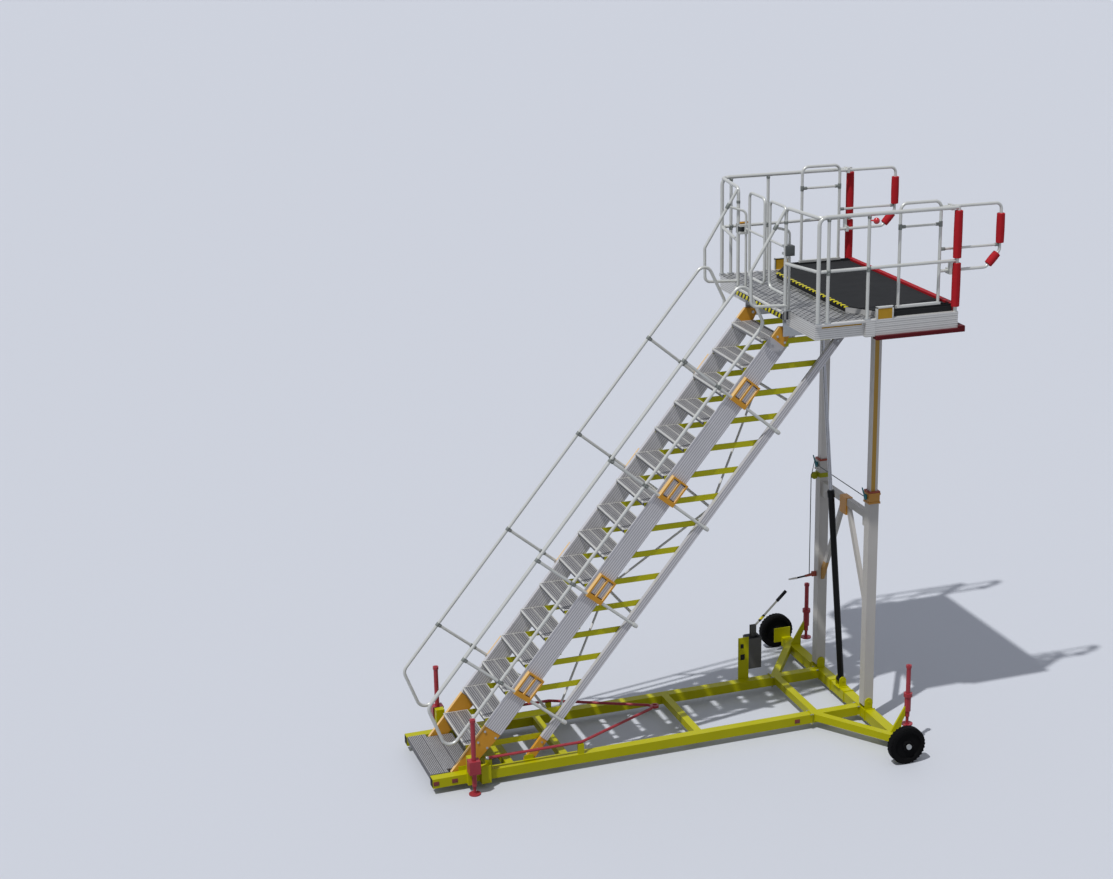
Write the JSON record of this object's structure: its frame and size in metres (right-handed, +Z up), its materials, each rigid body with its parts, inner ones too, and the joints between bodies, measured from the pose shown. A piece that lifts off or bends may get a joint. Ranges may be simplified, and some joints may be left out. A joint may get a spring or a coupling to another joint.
{
  "type": "mobile aircraft stairs",
  "caption": "Towable aircraft stairs with self-levelling treads and a fenced work platform that a hydraulic ram raises and lowers.",
  "frame": {"origin": "on the ground under the middle of the machine's box", "axes": "+X the way the stairs climb, +Y the left side, +Z up"},
  "size_m": [5.9132, 3.451, 5.766],
  "materials": {
    "yellow_enamel": "gloss",
    "orange_enamel": "satin",
    "red_enamel": "gloss",
    "grey_enamel": "satin",
    "pale_enamel": "satin",
    "black_enamel": "gloss",
    "zinc_steel": "satin",
    "chrome_rod": "polished",
    "aluminium": "satin",
    "rail_tube": "satin",
    "tyre": "matte",
    "deck_rubber": "matte",
    "dark_red_rubber": "matte",
    "red_foam": "matte"
  },
  "bodies": {
    "chassis": {"chassis_rails": "yellow_enamel", "chassis_cross_members": "yellow_enamel", "axle_beam": "yellow_enamel", "axle_ends": "zinc_steel", "jack_sleeves": "red_enamel", "rail_fittings": "yellow_enamel", "front_step": "aluminium", "stair_foot_pins": "zinc_steel", "tow_bar": "red_enamel", "hand_pump": "grey_enamel"},
    "wheel_left": {"wheel_left": "tyre"},
    "wheel_right": {"wheel_right": "tyre"},
    "stairs": {"stringers": "aluminium", "stringer_end_plates": "orange_enamel", "rail_clamps": "orange_enamel", "stair_handrail_left": "rail_tube", "stair_handrail_right": "rail_tube"},
    "chords": {"chords": "aluminium", "chord_end_plates": "orange_enamel", "chord_lattice": "aluminium"},
    "platform": {"platform_frame": "aluminium", "platform_ears": "zinc_steel", "landing_plate": "aluminium", "upper_deck": "deck_rubber", "edge_bumpers": "dark_red_rubber", "rail_brackets": "orange_enamel", "guard_pads": "red_foam", "guard_rail_left": "rail_tube", "guard_rail_right": "rail_tube"},
    "gate_left": {"gate_left": "rail_tube"},
    "gate_right": {"gate_right": "rail_tube"},
    "extension_left": {"extension_rail_left": "rail_tube", "loop_pads_left": "red_foam"},
    "extension_right": {"extension_rail_right": "rail_tube", "loop_pads_right": "red_foam"},
    "posts": {"outer_posts": "pale_enamel", "post_head": "pale_enamel"},
    "post_extensions": {"inner_posts": "aluminium"},
    "ram": {"ram_barrel": "black_enamel"},
    "ram_rod": {"ram_rod": "chrome_rod"},
    "jack_front_left": {"jack_leg_front_left": "red_enamel"},
    "jack_front_right": {"jack_leg_front_right": "red_enamel"},
    "jack_rear_left": {"jack_leg_rear_left": "red_enamel"},
    "jack_rear_right": {"jack_leg_rear_right": "red_enamel"},
    "tread_01": {"tread_01": "yellow_enamel"},
    "tread_02": {"tread_02": "yellow_enamel"},
    "tread_03": {"tread_03": "yellow_enamel"},
    "tread_04": {"tread_04": "yellow_enamel"},
    "tread_05": {"tread_05": "yellow_enamel"},
    "tread_06": {"tread_06": "yellow_enamel"},
    "tread_07": {"tread_07": "yellow_enamel"},
    "tread_08": {"tread_08": "yellow_enamel"},
    "tread_09": {"tread_09": "yellow_enamel"},
    "tread_10": {"tread_10": "yellow_enamel"},
    "tread_11": {"tread_11": "yellow_enamel"},
    "tread_12": {"tread_12": "yellow_enamel"},
    "tread_13": {"tread_13": "yellow_enamel"},
    "tread_14": {"tread_14": "yellow_enamel"},
    "tread_15": {"tread_15": "yellow_enamel"},
    "tread_16": {"tread_16": "yellow_enamel"}
  },
  "joints": [
    {"name": "stair_lower", "type": "hinge", "parent": "chassis", "child": "stairs", "pos_m": [-2.609, 0, 0.15], "axis": [0, 1, 0], "range_deg": [0, 16.35]},
    {"name": "chord_pivot", "type": "hinge", "parent": "chassis", "child": "chords", "pos_m": [-1.919, 0, 0.15], "axis": [0, 1, 0], "range_deg": [0, 16.35]},
    {"name": "platform_level", "type": "hinge", "parent": "stairs", "child": "platform", "pos_m": [0.91316, 0, 4.4], "axis": [0, 1, 0], "range_deg": [-16.35, 0]},
    {"name": "tread_01_level", "type": "hinge", "parent": "stairs", "child": "tread_01", "pos_m": [-2.41922, 0, 0.379], "axis": [0, 1, 0], "range_deg": [-16.35, 0]},
    {"name": "tread_02_level", "type": "hinge", "parent": "stairs", "child": "tread_02", "pos_m": [-2.20358, 0, 0.6392], "axis": [0, 1, 0], "range_deg": [-16.35, 0]},
    {"name": "tread_03_level", "type": "hinge", "parent": "stairs", "child": "tread_03", "pos_m": [-1.98794, 0, 0.8994], "axis": [0, 1, 0], "range_deg": [-16.35, 0]},
    {"name": "tread_04_level", "type": "hinge", "parent": "stairs", "child": "tread_04", "pos_m": [-1.7723, 0, 1.1596], "axis": [0, 1, 0], "range_deg": [-16.35, 0]},
    {"name": "tread_05_level", "type": "hinge", "parent": "stairs", "child": "tread_05", "pos_m": [-1.55666, 0, 1.4198], "axis": [0, 1, 0], "range_deg": [-16.35, 0]},
    {"name": "tread_06_level", "type": "hinge", "parent": "stairs", "child": "tread_06", "pos_m": [-1.34102, 0, 1.68], "axis": [0, 1, 0], "range_deg": [-16.35, 0]},
    {"name": "tread_07_level", "type": "hinge", "parent": "stairs", "child": "tread_07", "pos_m": [-1.12538, 0, 1.9402], "axis": [0, 1, 0], "range_deg": [-16.35, 0]},
    {"name": "tread_08_level", "type": "hinge", "parent": "stairs", "child": "tread_08", "pos_m": [-0.90975, 0, 2.2004], "axis": [0, 1, 0], "range_deg": [-16.35, 0]},
    {"name": "tread_09_level", "type": "hinge", "parent": "stairs", "child": "tread_09", "pos_m": [-0.69411, 0, 2.4606], "axis": [0, 1, 0], "range_deg": [-16.35, 0]},
    {"name": "tread_10_level", "type": "hinge", "parent": "stairs", "child": "tread_10", "pos_m": [-0.47847, 0, 2.7208], "axis": [0, 1, 0], "range_deg": [-16.35, 0]},
    {"name": "tread_11_level", "type": "hinge", "parent": "stairs", "child": "tread_11", "pos_m": [-0.26283, 0, 2.981], "axis": [0, 1, 0], "range_deg": [-16.35, 0]},
    {"name": "tread_12_level", "type": "hinge", "parent": "stairs", "child": "tread_12", "pos_m": [-0.04719, 0, 3.2412], "axis": [0, 1, 0], "range_deg": [-16.35, 0]},
    {"name": "tread_13_level", "type": "hinge", "parent": "stairs", "child": "tread_13", "pos_m": [0.16845, 0, 3.5014], "axis": [0, 1, 0], "range_deg": [-16.35, 0]},
    {"name": "tread_14_level", "type": "hinge", "parent": "stairs", "child": "tread_14", "pos_m": [0.38409, 0, 3.7616], "axis": [0, 1, 0], "range_deg": [-16.35, 0]},
    {"name": "tread_15_level", "type": "hinge", "parent": "stairs", "child": "tread_15", "pos_m": [0.59973, 0, 4.0218], "axis": [0, 1, 0], "range_deg": [-16.35, 0]},
    {"name": "tread_16_level", "type": "hinge", "parent": "stairs", "child": "tread_16", "pos_m": [0.81537, 0, 4.282], "axis": [0, 1, 0], "range_deg": [-16.35, 0]},
    {"name": "post_lean", "type": "hinge", "parent": "chassis", "child": "posts", "pos_m": [1.846, 0, 0.25], "axis": [0, 1, 0], "range_deg": [0, 19.44]},
    {"name": "post_telescope", "type": "slide", "parent": "posts", "child": "post_extensions", "axis": [0, 0, 1], "range_m": [-0.983, 0]},
    {"name": "ram_lean", "type": "hinge", "parent": "chassis", "child": "ram", "pos_m": [1.836, 0, 0.25], "axis": [0, 1, 0], "range_deg": [0, 18.17]},
    {"name": "ram_stroke", "type": "slide", "parent": "ram", "child": "ram_rod", "axis": [-0.0793, 0, 0.9969], "range_m": [-1.0901, 0]},
    {"name": "wheel_left_spin", "type": "hinge", "parent": "chassis", "child": "wheel_left", "pos_m": [1.786, 1.655, 0.2], "axis": [0, 1, 0], "continuous": true},
    {"name": "gate_left_swing", "type": "hinge", "parent": "platform", "child": "gate_left", "pos_m": [0.88116, 0.545, 5.256], "axis": [0, 0, 1], "range_deg": [0, 85]},
    {"name": "extension_left_slide", "type": "slide", "parent": "platform", "child": "extension_left", "axis": [1, 0, 0], "range_m": [-0.27, 0]},
    {"name": "jack_front_left_raise", "type": "slide", "parent": "chassis", "child": "jack_front_left", "axis": [0, 0, 1], "range_m": [0, 0.2]},
    {"name": "jack_rear_left_lower", "type": "slide", "parent": "chassis", "child": "jack_rear_left", "axis": [0, 0, 1], "range_m": [-0.225, 0]},
    {"name": "wheel_right_spin", "type": "hinge", "parent": "chassis", "child": "wheel_right", "pos_m": [1.786, -1.655, 0.2], "axis": [0, 1, 0], "continuous": true},
    {"name": "gate_right_swing", "type": "hinge", "parent": "platform", "child": "gate_right", "pos_m": [0.88116, -0.545, 5.256], "axis": [0, 0, 1], "range_deg": [-85, 0]},
    {"name": "extension_right_slide", "type": "slide", "parent": "platform", "child": "extension_right", "axis": [1, 0, 0], "range_m": [-0.27, 0]},
    {"name": "jack_front_right_raise", "type": "slide", "parent": "chassis", "child": "jack_front_right", "axis": [0, 0, 1], "range_m": [0, 0.2]},
    {"name": "jack_rear_right_lower", "type": "slide", "parent": "chassis", "child": "jack_rear_right", "axis": [0, 0, 1], "range_m": [-0.225, 0]}
  ],
  "couplings": [
    {"joint": "chord_pivot", "follows": "stair_lower", "ratio": 1},
    {"joint": "platform_level", "follows": "stair_lower", "ratio": -1},
    {"joint": "tread_01_level", "follows": "stair_lower", "ratio": -1},
    {"joint": "tread_02_level", "follows": "stair_lower", "ratio": -1},
    {"joint": "tread_03_level", "follows": "stair_lower", "ratio": -1},
    {"joint": "tread_04_level", "follows": "stair_lower", "ratio": -1},
    {"joint": "tread_05_level", "follows": "stair_lower", "ratio": -1},
    {"joint": "tread_06_level", "follows": "stair_lower", "ratio": -1},
    {"joint": "tread_07_level", "follows": "stair_lower", "ratio": -1},
    {"joint": "tread_08_level", "follows": "stair_lower", "ratio": -1},
    {"joint": "tread_09_level", "follows": "stair_lower", "ratio": -1},
    {"joint": "tread_10_level", "follows": "stair_lower", "ratio": -1},
    {"joint": "tread_11_level", "follows": "stair_lower", "ratio": -1},
    {"joint": "tread_12_level", "follows": "stair_lower", "ratio": -1},
    {"joint": "tread_13_level", "follows": "stair_lower", "ratio": -1},
    {"joint": "tread_14_level", "follows": "stair_lower", "ratio": -1},
    {"joint": "tread_15_level", "follows": "stair_lower", "ratio": -1},
    {"joint": "tread_16_level", "follows": "stair_lower", "ratio": -1},
    {"joint": "post_lean", "follows": "stair_lower", "ratio": 1.1888},
    {"joint": "post_telescope", "follows": "stair_lower", "m_per_rad": -3.4443},
    {"joint": "ram_lean", "follows": "stair_lower", "ratio": 1.1114},
    {"joint": "ram_stroke", "follows": "stair_lower", "m_per_rad": -3.8197}
  ]
}
